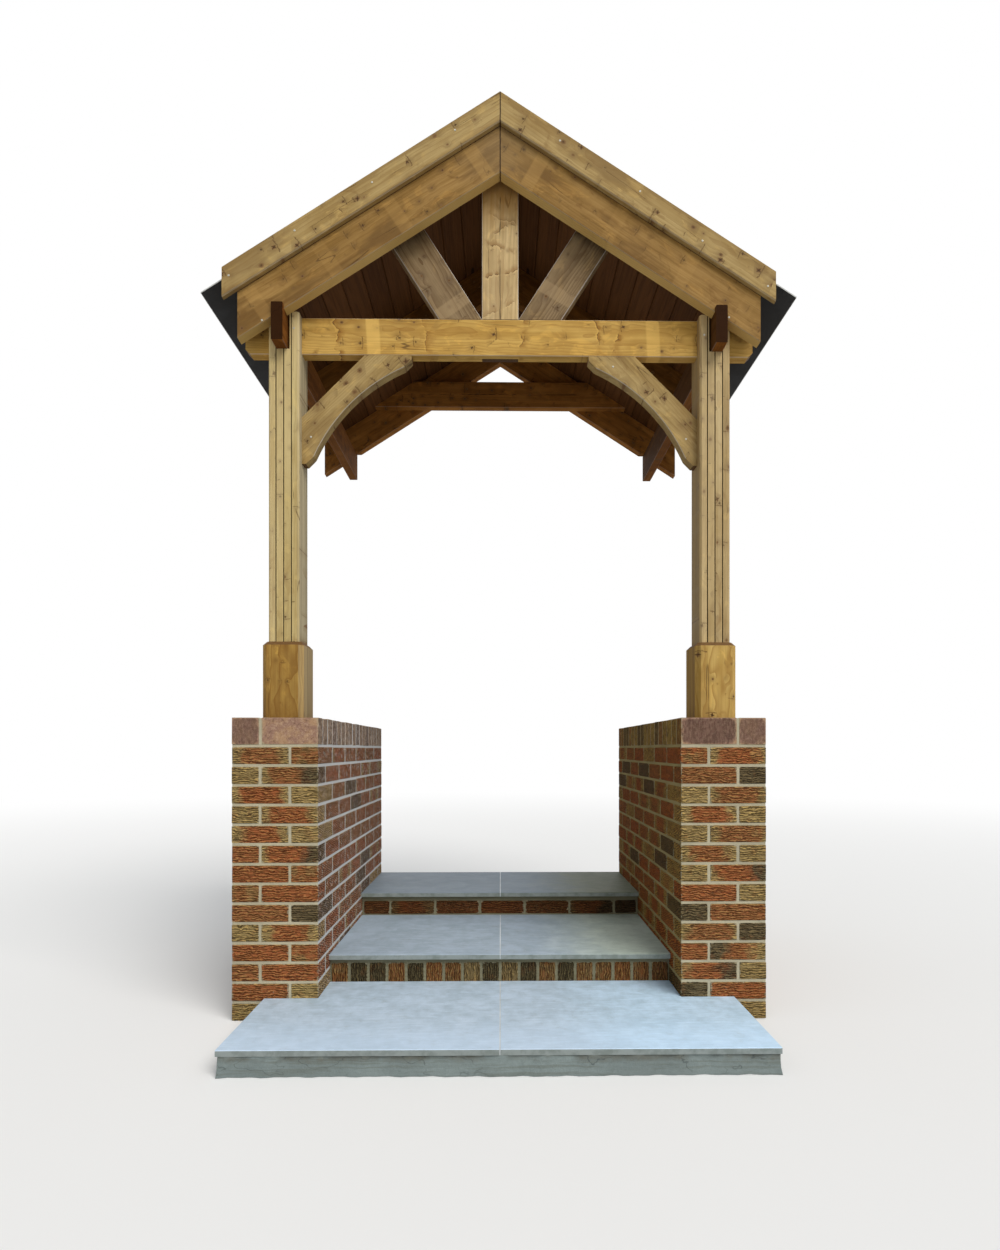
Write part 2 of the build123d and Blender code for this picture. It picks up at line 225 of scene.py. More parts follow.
# Stage: pale floor, even light from all round, one broad soft lamp from above the front
def light_paths(f):
    """1 for the rays that look at the stage itself, directly or in a gloss or a glass."""
    path = f.node("ShaderNodeLightPath", None, None, "Is Camera Ray")
    outputs = path.socket.node.outputs
    return path.math("MAXIMUM", Value(f, outputs["Is Glossy Ray"])).math(
        "MAXIMUM", Value(f, outputs["Is Transmission Ray"]))


world = bpy.data.worlds.new("sky")
scene.world = world
sky = Finish(world)
soft = sky.tree.nodes["Background"]
soft.inputs["Color"].default_value = (0.92, 0.96, 1.0, 1.0)
ahead = sky.parts(sky.node("ShaderNodeTexCoord", output="Generated"))[1]
sky.tree.links.new((0.47 - ahead * 0.14).socket, soft.inputs["Strength"])
white = sky.node("ShaderNodeBackground", None, {"Color": (1, 1, 1, 1), "Strength": 1.0})
shaders = {0: light_paths(sky), 1: Value(sky, soft.outputs[0]), 2: white}
both = sky.node("ShaderNodeMixShader", None, shaders)
sky.tree.links.new(both.socket, sky.tree.nodes["World Output"].inputs["Surface"])

lamp_data = bpy.data.lights.new("soft_lamp", "SUN")
lamp_data.energy = 2.35
lamp_data.angle = math.radians(40)
lamp_data.color = (1.0, 0.97, 0.92)
lamp = bpy.data.objects.new("soft_lamp", lamp_data)
lamp.rotation_euler = (math.radians(42), 0, math.radians(36))
scene.collection.objects.link(lamp)


def stage_floor():
    """A flat floor that fades to white far from the porch and gives back little light from below."""
    mesh = bpy.data.meshes.new("floor")
    far = 60.0
    corners = [(-far, -far, -0.001), (far, -far, -0.001), (far, far, -0.001), (-far, far, -0.001)]
    mesh.from_pydata(corners, [], [(0, 1, 2, 3)])
    floor = bpy.data.objects.new("floor", mesh)
    scene.collection.objects.link(floor)
    f, place = new_finish("pale_floor", 0.1)
    f.shader.inputs["Roughness"].default_value = 0.9
    seen = light_paths(f)
    colour = f.mix(seen, (0.48, 0.48, 0.47), (0.86, 0.86, 0.86))
    f.tree.links.new(colour.socket, f.shader.inputs["Base Color"])
    glow = f.node("ShaderNodeEmission", None, {"Color": (1, 1, 1, 1), "Strength": 1.0})
    fade = f.smooth(f.length(place), 3.0, 14.0) * seen
    both = f.node("ShaderNodeMixShader", None, {0: fade, 1: Value(f, f.shader.outputs[0]), 2: glow})
    f.tree.links.new(both.socket, f.tree.nodes["Material Output"].inputs["Surface"])
    mesh.materials.append(f.owner)


stage_floor()


# Finishes
def dress(material, *names):
    """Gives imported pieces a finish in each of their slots."""
    for name in names:
        slots = nodes[name].data.materials
        if not slots:
            slots.append(material)
        for index in range(len(slots)):
            slots[index] = material


def facing(f, sign, low=0.6, high=0.9):
    """1 on the faces that look from this side of the porch towards its middle."""
    return f.smooth(f.dot(f.normal(), (-sign, 0, 0)), low, high)


def timber(node, grain, pale, deep, seed, face=(0, -1, 0), pith=(0.03, 0.09), ring=0.0065, knots=1.0,
           marks=(), whorls=(), seam=False, laminated=False, split=None, ring_depth=0.35, figure=1.0,
           mottle=1.0, arris=0.6, gloss=0.12, end=(0.15, 0.075, 0.028), fade=None, inner=None, under=None):
    """Dresses a piece in sawn softwood with its grain along a direction: growth rings round a leaning pith,
    bent by slow waves; knots in stretched random cells, each with a star of cracks, a grey-brown halo that
    pushes the rings aside and, on some, a dark arc across the grain; cloudy stain, fine fibres and drying
    checks. Where asked for, paler cross marks and dark whorls at the given distances, a tint that fades in
    along the grain, dark V joints between laminations that differ in tone, a seam at the ridge, a split
    along the grain, paler arrises as a painted highlight, a paler tone underneath as painted light, a
    darker tone on the end grain, and a tone on the side towards the middle as painted light and shade."""
    low, high = np.array(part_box(node))
    centre = (low + high) / 2
    grain, face = (np.array(axis, float) / np.linalg.norm(axis) for axis in (grain, face))
    side = np.cross(face, grain)
    f, place = new_finish(f"{node}_timber", gloss)
    normal = f.normal()
    u, v, w = (f.dot(place, axis) - float(np.dot(axis, centre)) for axis in (grain, side, face))
    if laminated:
        board = ((v + post_half) / lamination).math("FLOOR")
        u = u + board * 0.43

    def drawn_out(along, across, shift, detail=3.0, rough=0.6, twist=0.0):
        """Noise drawn out along the grain."""
        return f.noise(f.vector(u * along + shift, v * across, w * across), 1.0, detail, rough, twist)

    wander = drawn_out(0.8, 3, seed * 3.7, 1.0, 0.5) - 0.5
    swirl = drawn_out(7, 18, seed, 1.0, 0.5) - 0.5
    cell = f.vector(u / 0.075 + seed * 7.3, v / 0.05 + seed, w / 0.16)
    spots = f.cells(cell, 1.0, "Position")
    chance, second, third = f.parts(Value(f, spots.socket.node.outputs["Color"]))
    gap = f.stretch(f.vectors("SUBTRACT", spots, cell), (0.062, 0.050, 0.012))
    gap_u, gap_v = f.parts(gap)[:2]
    size = (chance - 0.30).math("MAXIMUM", 0.003) * (0.0135 * knots)
    ragged = f.noise(place, 160.0, 2.0) - 0.5
    reach = f.length(gap) / size + ragged * 0.5
    knot = f.smooth(reach, 1.15, 0.75)
    halo = (reach * reach * -0.13).math("EXPONENT")
    lean = v - pith[0] + u * 0.03
    depth = w + pith[1]
    radius = (lean * lean + depth * depth).math("SQRT")
    rings = (radius + wander * 0.018 + swirl * (0.007 * figure) + halo * 0.005) / ring
    late = rings.math("FRACT") ** 2.4
    fibre = drawn_out(6, 380, seed)
    streak = drawn_out(1.1, 34, seed * 5, rough=0.5)
    tone = drawn_out(4.5, 11, seed * 2)
    blotch = drawn_out(9, 17, seed * 4, 4.0, twist=0.8)
    haze = drawn_out(2.6, 7, seed * 6)
    colour = f.mix(f.smooth(tone * 0.55 + streak * 0.45, 0.38, 0.62), pale, deep)
    brown = scaled(deep, 0.62, 0.50, 0.42)
    bright = scaled(pale, 1.22, 1.16, 1.0)
    grey = scaled(deep, 0.62, 0.60, 0.70)
    colour = f.lay(
        colour, (bright, blotch, 0.55, 0.66, 0.60), (brown, blotch, 0.44, 0.30, 0.50),
        (grey, haze + (streak - 0.5) * 0.3, 0.50, 0.66, 0.34 * mottle), (brown, late * ring_depth),
        (brown, fibre, 0.35, 0.75, 0.30))
    if laminated:
        colour = f.mix(f.lot(board + seed) * 0.45, colour, deep)
    # Side towards the middle: painted light on the left-hand pieces, painted shade on the right-hand ones
    if inner:
        shade = facing(f, 1 if low[0] > 0 else -1, 0.40, 0.95)
        own = f.mix(f.smooth(streak, 0.40, 0.60), inner, scaled(inner, 0.68))
        colour = f.mix(shade * 0.95, colour, f.mix(late * 0.3, own, scaled(inner, 0.45)))
    heart = f.mix(f.smooth(reach, 0.25, 0.8), (0.085, 0.040, 0.016), (0.22, 0.115, 0.045))
    slant = (second - 0.5) * 1.6
    star = abs(gap_v - gap_u * slant * 0.8) + 0.0003
    star = abs(gap_u + gap_v * slant + ragged * 0.003).math("MINIMUM", star)
    star = f.smooth(star, 0.0020, 0.0007) * f.smooth(reach, 1.5, 0.9) * f.smooth(third, 0.45, 0.65)
    bow = f.length(f.vector(gap_u * 1.5, gap_v * 0.42, 0.0)) / size + ragged * 1.6
    hook = f.smooth(gap_u * (second - 0.5).math("SIGN") - abs(gap_v) * 0.15, 0.0, 0.003)
    hook = hook * f.smooth(abs(bow - 2.0), 0.40, 0.10)
    hook = hook * f.smooth(third, 0.40, 0.50) * f.smooth(chance, 0.40, 0.52)
    line = abs(drawn_out(1.1, 16, seed * 9, 1.0, 0.5) - 0.5)
    check = f.smooth(line, 0.006, 0.001) * f.smooth(tone, 0.52, 0.60)
    colour = f.lay(
        colour, (grey, halo * f.smooth(chance, 0.38, 0.50) * 0.60), (heart, knot * 0.85),
        ((0.045, 0.022, 0.009), star * 0.75), ((0.105, 0.050, 0.017), hook * 0.66),
        ((0.09, 0.045, 0.02), check * 0.7))
    if fade:
        start, stop, tint, strength = fade
        colour = f.lay(colour, (tint, u + (streak - 0.5) * 0.2, start, stop, strength))
    for distance, strength in marks:
        stripe = f.smooth(abs(u - distance + v * 0.05 + wander * 0.01), 0.031, 0.022)
        colour = f.mix(stripe * strength, colour, scaled(pale, 1.35))
    for distance, bend, strength in whorls:
        bends = drawn_out(14, 26, distance * 50, 2.0, 0.5)
        level = u - distance + v * bend + (bends - 0.5) * 0.075 + ragged * 0.010
        patchy = f.noise(f.vector(u * 20, v * 34 + distance * 50, w * 34), detail=1.0)
        patchy = f.smooth(patchy, 0.44, 0.56)
        shadow = f.smooth(level, 0.030, 0.002) * f.smooth(level, -0.002, 0.001) * (patchy * 0.8 + 0.2)
        colour = f.lay(
            colour, (brown, shadow * strength),
            ((0.12, 0.056, 0.020), abs(level), 0.0022, 0.0006, patchy * strength),
            (bright, abs(level + 0.006), 0.006, 0.001, patchy * (strength * 0.35)))
    # Paler arrises: a painted highlight where the chamfers catch the light
    if arris:
        turned = abs(f.dot(normal, face))
        arris_highlight = tuple(c * 0.55 + 0.36 for c in pale)
        colour = f.lay(colour, (arris_highlight, abs(turned - 0.707), 0.08, 0.04, arris))
    # Paler, yellower underside: painted light from the ground below
    if under:
        below = f.dot(normal, (0, 0, -1))
        lit = f.mix(late * 0.4, under, scaled(under, 0.6))
        colour = f.lay(colour, (lit, below, 0.5, 0.8, 0.85))
    across = abs(f.dot(normal, grain))
    colour = f.lay(colour, (f.mix(late, end, scaled(end, 0.6)), across, 0.55, 0.72, 0.95))
    relief = fibre * 0.5 - late * 0.25 - check * 1.5 - knot * 0.3 - star * 1.5 - hook * 0.8
    if laminated:
        nearest = abs((v / lamination).math("FRACT") - 0.5)
        groove = f.smooth(nearest, 0.405, 0.445) * f.smooth(abs(v), 0.050, 0.045)
        rim = f.smooth(nearest, 0.30, 0.38) * f.smooth(nearest, 0.44, 0.40)
        colour = f.lay(colour, (scaled(deep, 0.14), groove * 0.95), (bright, rim * 0.25))
    if seam:
        x = f.parts(place)[0]
        wave = (f.noise(place, 30.0) - 0.5) * 0.003
        gap_line = f.smooth(abs(x + wave), 0.0024, 0.0012)
        colour = f.mix(gap_line, colour, (0.03, 0.015, 0.01))
        relief = relief - gap_line * 3
    if split is not None:
        line = abs(v + wander * 0.004 + swirl * split) + f.smooth(tone, 0.56, 0.46) * 0.003
        line = f.smooth(line, 0.0032, 0.0014) * f.smooth(w, 0.012, 0.018)
        colour = f.mix(line * 0.8, colour, scaled(deep, 0.20))
    dress(f.finish(colour, fibre * 0.25 + 0.55, relief, 0.0008), node)


def inner_side(f, colour, inner):
    """Gives the side towards the middle of the porch a tint: painted shade on the right wall's bricks and
    joints, painted light on the left wall's joints.
    """
    if inner:
        sign, tint, strength, blend = inner
        colour = f.mix(facing(f, sign) * strength, colour, tint, blend)
    return colour


def brick_finish(name, dragged, buff, red, dark, bed_face=False, lean=0.0, inner=None):
    """Rustic brick: buff, with red in the middle of a stretcher as far as its redness goes, and dark where
    its darkness rises above 0; ripples about 9 mm apart across one axis, leaning along the wall's sides,
    bent by noise and broken, with pale crests as a painted highlight and dark troughs as painted shade;
    mortar smears at the arrises and low on the wall; on a coping the bed faces are plain with a dark
    smudge."""
    f, place = new_finish(name, 0.05)
    axes = f.parts(place)
    drag_scale = (30.0, 30.0, 110.0) if dragged == 2 else (110.0, 110.0, 30.0)
    chance = f.attribute("chance")
    second = (chance * 7.31).math("FRACT")
    third = (chance * 23.7).math("FRACT")
    way = f.attribute("way")
    share = f.attribute("red")
    spot = f.parts(f.attribute("spot", "Vector"))
    own = f.vectors("ADD", place, f.vector(chance * 40, second * 40, third * 40))
    long = f.stretch(own, (0.55, 0.30, 1.0) if dragged == 2 else (1.0, 1.0, 0.5))
    cloud = f.noise(own, 24.0, 3.0)
    speck = f.noise(place, 620.0, 2.0)
    wave = f.noise(long, 42.0, 2.0) - 0.5
    rough = f.noise(long, 150.0, 2.0) - 0.5
    drag = f.noise(own, drag_scale, 3.0) - 0.5
    phase = (axes[dragged] + axes[1] * lean) / ripple_pitch + wave * 2.8 + rough * 1.0 + chance * 9
    ripple = (phase * math.tau).math("SINE") * 0.5 + 0.5
    broken = f.smooth(f.noise(long, 70.0, 2.0) + drag, 0.28, 0.50) * 0.75 + 0.25
    groove = f.smooth(ripple, 0.42, 0.08) * broken
    crest_highlight = f.smooth(ripple, 0.66, 0.94) * broken
    middle = f.smooth(abs(way) + (cloud - 0.5) * 1.1, share * 0.4 + 0.55, share * 0.4 + 0.15)
    edge = spot[0] ** 12.0 + spot[1] ** 12.0 + spot[2] ** 12.0
    rim = spot[2 if dragged == 2 else 0] ** 5.0 + (cloud - 0.5) * 1.0
    redness = middle * f.smooth(share, 0.0, 0.5) * (f.smooth(rim, 0.85, 0.40) * 0.75 + 0.25)
    colour = f.mix(redness, buff, red)
    colour = f.lay(
        colour, (scaled(buff, 0.62), second, 0.2, 0.8, 0.25),
        (dark, f.attribute("dark") + (cloud - 0.5) * 1.2, 0.15, 0.60, 0.84),
        (scaled(red, 0.6), cloud, 0.56, 0.66, 0.25))
    colour = inner_side(f, colour, inner)
    if inner:
        powder = f.smooth(f.noise(place, 45.0, 4.0, 0.7), 0.49, 0.63) * facing(f, inner[0])
        powder_tone = (0.56, 0.48, 0.44) if inner[3] == "MIX" else (1.75, 1.60, 1.40)
        colour = f.mix(powder * 0.42, colour, powder_tone, inner[3])
    # Ripples: painted highlight on the crests and painted shade in the troughs
    colour = f.lay(
        colour, (f.mix(redness, (1.9, 1.8, 1.5), (1.45, 2.2, 2.0)), crest_highlight * 0.68, "MULTIPLY"),
        ((0.38, 0.36, 0.34), drag, 0.02, 0.14, 0.50, "MULTIPLY"),
        ((0.24, 0.21, 0.19), groove * 0.80, "MULTIPLY"),
        ((0.50, 0.40, 0.24), speck, 0.60, 0.72, 0.4), ((0.05, 0.032, 0.022), speck, 0.36, 0.27, 0.5))
    smear = f.noise(place, 70.0, 5.0, 0.65)
    low = f.smooth(axes[2], 0.35, 0.0) * 0.07
    mortar_on = f.smooth(smear + f.smooth(edge, 1.15, 1.95) * 0.26 + low, 0.68, 0.80)
    colour = f.mix(mortar_on * 0.65, colour, (0.42, 0.375, 0.25))
    relief = speck * 0.12 + ripple * broken + mortar_on * 0.2 + rough * 0.5
    if bed_face:
        bed = f.smooth(abs(f.parts(f.normal())[1]), 0.5, 0.8)
        smudge = f.attribute("smudge")
        drag = f.noise(own, (150.0, 60.0, 45.0), 3.0)
        mottle = f.noise(place, 75.0, 4.0, 0.7)
        ragged = (cloud - 0.5) * 0.9 + (drag - 0.5) * 0.9 + (mottle - 0.5) * 0.6
        shape = spot[0] ** 6.0 + spot[2] ** 6.0 + ragged
        plain = f.mix(f.smooth(cloud, 0.38, 0.60), (0.45, 0.275, 0.155), (0.33, 0.19, 0.135))
        stain = f.mix(f.smooth(drag, 0.38, 0.62), (0.110, 0.060, 0.045), (0.190, 0.108, 0.080))
        plain = f.lay(
            plain, (stain, shape, 1.0, 0.45, smudge),
            ((0.60, 0.42, 0.28), mottle, 0.52, 0.62, 0.42 - smudge * 0.34),
            ((0.13, 0.062, 0.045), mottle, 0.46, 0.34, 0.60),
            ((0.62, 0.45, 0.31), speck, 0.55, 0.68, 0.55 - smudge * 0.35),
            ((0.07, 0.040, 0.028), speck, 0.43, 0.30, 0.70),
            ((0.46, 0.39, 0.26), edge, 1.3, 1.9, f.smooth(smear, 0.42, 0.55) * 0.7))
        colour = f.mix(bed, colour, plain)
        flat = speck * 0.15 + rough * 0.2
        relief = f.node("ShaderNodeMix", {"data_type": "FLOAT"}, {0: bed, 2: relief, 3: flat})
    return f.finish(colour, 0.9, relief, 0.0045)


def mortar_finish(name, tint=(0.53, 0.475, 0.335), lines=0.0, inner=None, cracks=None):
    """Sandy mortar: grains, trowel drags, level streaks where lines is above 0, darker damp patches at the
    foot, and cracks with a brown band of painted shade under the height given for them."""
    f, place = new_finish(name, 0.05)
    sand = f.noise(place, 900.0, 2.0)
    drag = f.noise(place, 60.0, 4.0, 0.65)
    cloud = f.noise(place, 7.0, 3.0)
    z = f.parts(place)[2]
    colour = f.mix(f.smooth(cloud, 0.35, 0.7), tint, scaled(tint, 0.82))
    streaks = f.noise(place, (4.0, 4.0, 110.0), 4.0, 0.6, 0.5)
    colour = f.lay(
        colour, (scaled(tint, 1.4), sand, 0.55, 0.75, 0.35), (scaled(tint, 0.42), sand, 0.42, 0.28, 0.40),
        (scaled(tint, 0.56, 0.50, 0.40), streaks, 0.50, 0.62, lines),
        (scaled(tint, 1.25), streaks, 0.42, 0.32, lines * 0.5))
    # Brown band under the given height: painted shade under the slab's edge
    if cracks:
        bends = f.noise(place, (7.0, 7.0, 16.0), 3.0)
        crack = f.smooth(abs(bends - 0.5), 0.010, 0.002) * f.smooth(cloud, 0.45, 0.55)
        band = f.smooth(z + (drag - 0.5) * 0.03, cracks - 0.030, cracks - 0.006)
        band = band * f.smooth(cloud, 0.42, 0.58)
        brown = scaled(tint, 0.52, 0.40, 0.30)
        colour = f.lay(colour, (brown, band * 0.6), (scaled(tint, 0.3), crack * 0.7))
    damp = f.smooth(z + (drag - 0.5) * 0.15, 0.12, 0.0) * 0.35
    colour = f.mix(damp, colour, scaled(tint, 0.5))
    return f.finish(inner_side(f, colour, inner), 0.95, sand * 0.35 + drag + streaks * lines, 0.0024)


def slab_finish(name, shade, right_tone):
    """Pale blue-grey paving slab, lighter and bluer at the front of the flight as painted light: clouds,
    short brushed streaks, fine grit, a few pores, dull front edge; shade darkens all of it as painted
    shade, and right_tone tints its right-hand end as painted light and shade."""
    f, place = new_finish(name, 0.25)
    cloud = f.noise(place, 8.0, 5.0, 0.65, 0.4)
    patch = f.noise(place, 22.0, 5.0, 0.65)
    brushed = f.noise(place, (12.0, 70.0, 12.0), 4.0, 0.65)
    grit = f.noise(place, 520.0, 2.0)
    dull, light, streak, stain, bright, front_light = (scaled(tone, shade) for tone in (
        (0.385, 0.485, 0.570), (0.545, 0.660, 0.790), (0.68, 0.76, 0.84), (0.36, 0.39, 0.41),
        (0.72, 0.80, 0.88), (0.62, 0.78, 0.98)))
    colour = f.mix(f.smooth(cloud * 0.4 + patch * 0.35 + brushed * 0.25, 0.36, 0.64), dull, light)
    pore = f.smooth(f.cells(place, 75.0), 0.10, 0.04) * f.smooth(patch, 0.5, 0.6)
    x, y = f.parts(place)[:2]
    sawn = f.mix(f.smooth(patch, 0.35, 0.6), (0.19, 0.215, 0.19), (0.27, 0.30, 0.28))
    # The paler, bluer front is painted light; the right-hand tint is painted light and shade
    colour = f.lay(
        colour, (streak, brushed, 0.58, 0.70, 0.25), (stain, patch, 0.40, 0.28, 0.30),
        (bright, grit, 0.55, 0.70, 0.20), ((0.25, 0.27, 0.29), grit, 0.40, 0.26, 0.30),
        ((0.20, 0.21, 0.22), pore * 0.5), (front_light, y + (cloud - 0.5) * 0.3, -0.62, -0.86, 0.40),
        (right_tone, x + (cloud - 0.5) * 0.3, 0.10, 0.55, 1.0, "MULTIPLY"),
        (sawn, f.parts(f.normal())[2], 0.75, 0.35, 0.92))
    return f.finish(colour, f.smooth(patch, 0.3, 0.7) * 0.15 + 0.5, grit * 0.6 + cloud - pore, 0.0004)


def slate_finish(name):
    """Riven slate: layered relief along the slope, one tone for each slate, lichen specks."""
    f, place = new_finish(name, 0.2)
    chance = f.attribute("chance")
    layer = f.noise(place, (9.0, 14.0, 9.0), 5.0, 0.6)
    fine = f.noise(place, 180.0, 3.0)
    colour = f.mix(chance, (0.060, 0.068, 0.080), (0.120, 0.126, 0.140))
    colour = f.lay(
        colour, ((0.17, 0.175, 0.18), layer, 0.40, 0.65, 0.5),
        ((0.26, 0.26, 0.24), fine, 0.62, 0.75, 0.5))
    steps = (layer * 9).math("FRACT") * 0.3 + layer
    return f.finish(colour, f.smooth(layer, 0.3, 0.7) * 0.2 + 0.5, steps + fine * 0.15, 0.003)


def sheet_finish(name):
    """Black eaves sheet: faint woven relief and creases, with a painted highlight along its cut edges."""
    f, place = new_finish(name, 0.3)
    x, y = f.parts(place)[:2]
    weave = ((x * 1800).math("SINE") * (y * 1800).math("SINE")) * 0.5 + 0.5
    crease = f.noise(place, 8.0, 3.0)
    colour = f.mix(f.smooth(crease, 0.35, 0.7), (0.012, 0.012, 0.012), (0.030, 0.029, 0.028))
    # Pale cut edges: a painted highlight
    sheet_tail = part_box("eaves_sheet_right")[1][0]
    tail = f.smooth(abs(x), sheet_tail - 0.0022, sheet_tail - 0.0012)
    front = f.smooth(y, slate_front + 0.0012, slate_front + 0.0004)
    colour = f.mix(tail.math("MAXIMUM", front), colour, (0.55, 0.55, 0.53))
    return f.finish(colour, f.smooth(crease, 0.3, 0.7) * 0.2 + 0.5, weave * 0.2 + crease, 0.001)


def ridge_finish(name):
    """Grey folded sheet metal: dull bloom, fine scratches along the fold."""
    f, place = new_finish(name, 0.5, 0.4)
    bloom = f.noise(place, 12.0, 4.0, 0.6)
    scratch = f.noise(place, (420.0, 6.0, 420.0))
    colour = f.mix(f.smooth(bloom, 0.35, 0.65), (0.13, 0.135, 0.14), (0.22, 0.225, 0.23))
    colour = f.lay(colour, ((0.32, 0.32, 0.32), scratch, 0.6, 0.75, 0.4))
    return f.finish(colour, f.smooth(bloom, 0.3, 0.7) * 0.2 + 0.4, bloom + scratch * 0.1, 0.0008)


def board_finish(name, sign):
    """Dark ceiling boards, stained and darkened further by painted shade, each with its own tone, grain
    from front to back.
    """
    f, place = new_finish(name, 0.05)
    x, y, z = f.parts(place)
    down = x * sign / slope_cos
    index = (down / board_cover).math("FLOOR")
    chance = f.lot(index + (3 if sign > 0 else 50))
    fibre = f.noise(f.vector(down * 260 + index * 7, y * 4, z * 20), 1.0, 3.0)
    figure = f.noise(f.vector(down * 26 + index * 3, y * 1.5 + index, z), 1.0, 3.0, 0.5, 0.6)
    lines = ((figure * 34).math("SINE") * 0.5 + 0.5) * 0.4
    spots = f.cells(f.vector(down * 10, y * 4, index), 1.0)
    colour = f.mix(chance, (0.085, 0.032, 0.010), (0.150, 0.060, 0.019))
    colour = f.lay(
        colour, ((0.042, 0.016, 0.006), lines), ((0.19, 0.080, 0.026), fibre, 0.4, 0.7, 0.3),
        ((0.030, 0.013, 0.007), spots, 0.13, 0.07, 1.0))
    return f.finish(colour, fibre * 0.25 + 0.5, fibre * 0.4 - lines, 0.0006)


# Tones, pale then deep; shaded is the same timber darker, painted shade for the members under the roof;
# tones of the side towards the middle for post, block and purlin, painted light on the left and painted
# shade on the right; marks as distance from the middle and strength
golden = (0.40, 0.235, 0.072), (0.27, 0.15, 0.038)
shaded = (0.42, 0.18, 0.040), (0.28, 0.115, 0.024)
axis_x, axis_y, axis_z = (1, 0, 0), (0, 1, 0), (0, 0, 1)
plank_marks = {"left": ((-0.503, 0.30), (-0.127, 0.2), (0.194, 0.15), (0.511, 0.2)),
               "right": ((-0.44, 0.3), (-0.07, 0.12), (0.26, 0.15), (0.53, 0.12))}
base_tones = {"left": ((0.52, 0.325, 0.080), (0.345, 0.190, 0.042)),
              "right": ((0.66, 0.45, 0.145), (0.52, 0.33, 0.088))}
post_tones = {"left": ((0.64, 0.51, 0.24), (0.50, 0.37, 0.15)),
              "right": ((0.57, 0.43, 0.22), (0.43, 0.30, 0.13))}
inner_tones = {"left": ((0.54, 0.45, 0.28), (0.45, 0.33, 0.17), None),
               "right": ((0.27, 0.145, 0.032), (0.33, 0.18, 0.030), (0.10, 0.042, 0.012))}
# Strut marks: a pale stripe across each strut, painted light of a streak of sun
strut_marks = {"left": ((-0.199, 0.45),), "right": ((-0.137, 0.40),)}


for number, (side, sign) in enumerate(sides):
    down = (sign * slope_cos, 0, -slope_sin)
    square = (slope_sin * sign, 0, slope_cos)
    seed = 1.0 + 10 * number
    # Sides towards the middle: painted light on the left post and base, painted shade on the right post,
    # base and purlin
    post_inner, base_inner, purlin_inner = inner_tones[side]
    # The fade makes the posts paler at the top: painted light where the roof shades them
    timber(f"post_{side}", axis_z, *post_tones[side], seed, pith=(0.012, 0.05), ring=0.006,
           laminated=True, inner=post_inner, arris=0, fade=(0.40, 0.75, (0.86, 0.68, 0.38), 0.2))
    timber(f"post_base_{side}", axis_z, *base_tones[side], seed + 1, pith=(-0.02, 0.16), ring_depth=0.75,
           figure=2.6, mottle=1.5, inner=base_inner, arris=0)
    # Purlins: dark tones are painted shade under the eaves; the near-black end is end grain darkened
    # further by painted shade
    timber(f"purlin_{side}", axis_y, (0.25, 0.098, 0.021), (0.165, 0.060, 0.012), seed + 2,
           face=(sign, 0, 0), end=(0.026, 0.0085, 0.0018), inner=purlin_inner, arris=0.2, gloss=0.04)
    timber(f"strut_{side}", square, (0.31, 0.215, 0.112), (0.20, 0.132, 0.064), seed + 3,
           marks=strut_marks[side], knots=0.8, ring_depth=0.8, arris=0.8)
    timber(f"knee_brace_{side}", (sign, 0, -1), (0.49, 0.35, 0.145), (0.34, 0.225, 0.080), seed + 4,
           knots=1.2)
    # Front rafters: the under tone is painted light on their undersides
    timber(f"front_rafter_{side}", down, *golden, seed + 5, marks=plank_marks[side], seam=True, knots=0.7,
           mottle=2.4, arris=0.25, fade=(-0.35, -0.65, (0.22, 0.155, 0.080), 0.45),
           under=(0.66, 0.44, 0.15))
    # Middle and wall rafters take the shaded tones; the middle ones darker still, painted shade deeper
    # under the roof
    timber(f"middle_rafter_{side}", down, scaled(shaded[0], 0.55), scaled(shaded[1], 0.5), seed + 6,
           arris=0, gloss=0.04)
    timber(f"wall_rafter_{side}", down, *shaded, seed + 7, arris=0.2, gloss=0.04)
    timber(f"bargeboard_{side}", down, (0.50, 0.355, 0.145), (0.36, 0.235, 0.080), seed + 8, seam=True,
           mottle=1.5, arris=0.2)
    timber(f"roof_deck_{side}", axis_y, *golden, seed + 9, face=square)
    dress(board_finish(f"ceiling_board_{side}", sign), f"ceiling_boards_{side}")
timber("tie_beam", axis_x, (0.68, 0.43, 0.115), (0.51, 0.295, 0.066), 31.0, pith=(0.02, 0.07),
       figure=2.0, ring_depth=0.5, marks=((-0.506, 0.45), (0.611, 0.35)), knots=0.8,
       whorls=((-0.648, 0.1, 0.9), (-0.30, 0.2, 0.6), (0.08, -0.1, 0.7), (0.39, 0.1, 0.9),
               (0.466, -0.2, 0.9)))
# King post: its near-black foot is end grain darkened further by painted shade under the tie
timber("king_post", axis_z, (0.74, 0.55, 0.28), (0.54, 0.38, 0.17), 33.0, pith=(0.002, 0.03),
       ring=0.011, end=(0.060, 0.022, 0.006), ring_depth=0.40, arris=0.9, knots=0.35, split=0.012,
       whorls=((-0.095, 0.3, 0.8), (0.010, -0.3, 0.75), (0.075, 0.5, 0.6), (0.13, -0.3, 0.5),
               (-0.235, 0.4, 0.5)),
       fade=(0.06, 0.30, (0.50, 0.25, 0.060), 0.85))
timber("wall_collar", axis_x, *shaded, 35.0, split=0.0, arris=0.2, gloss=0.04)
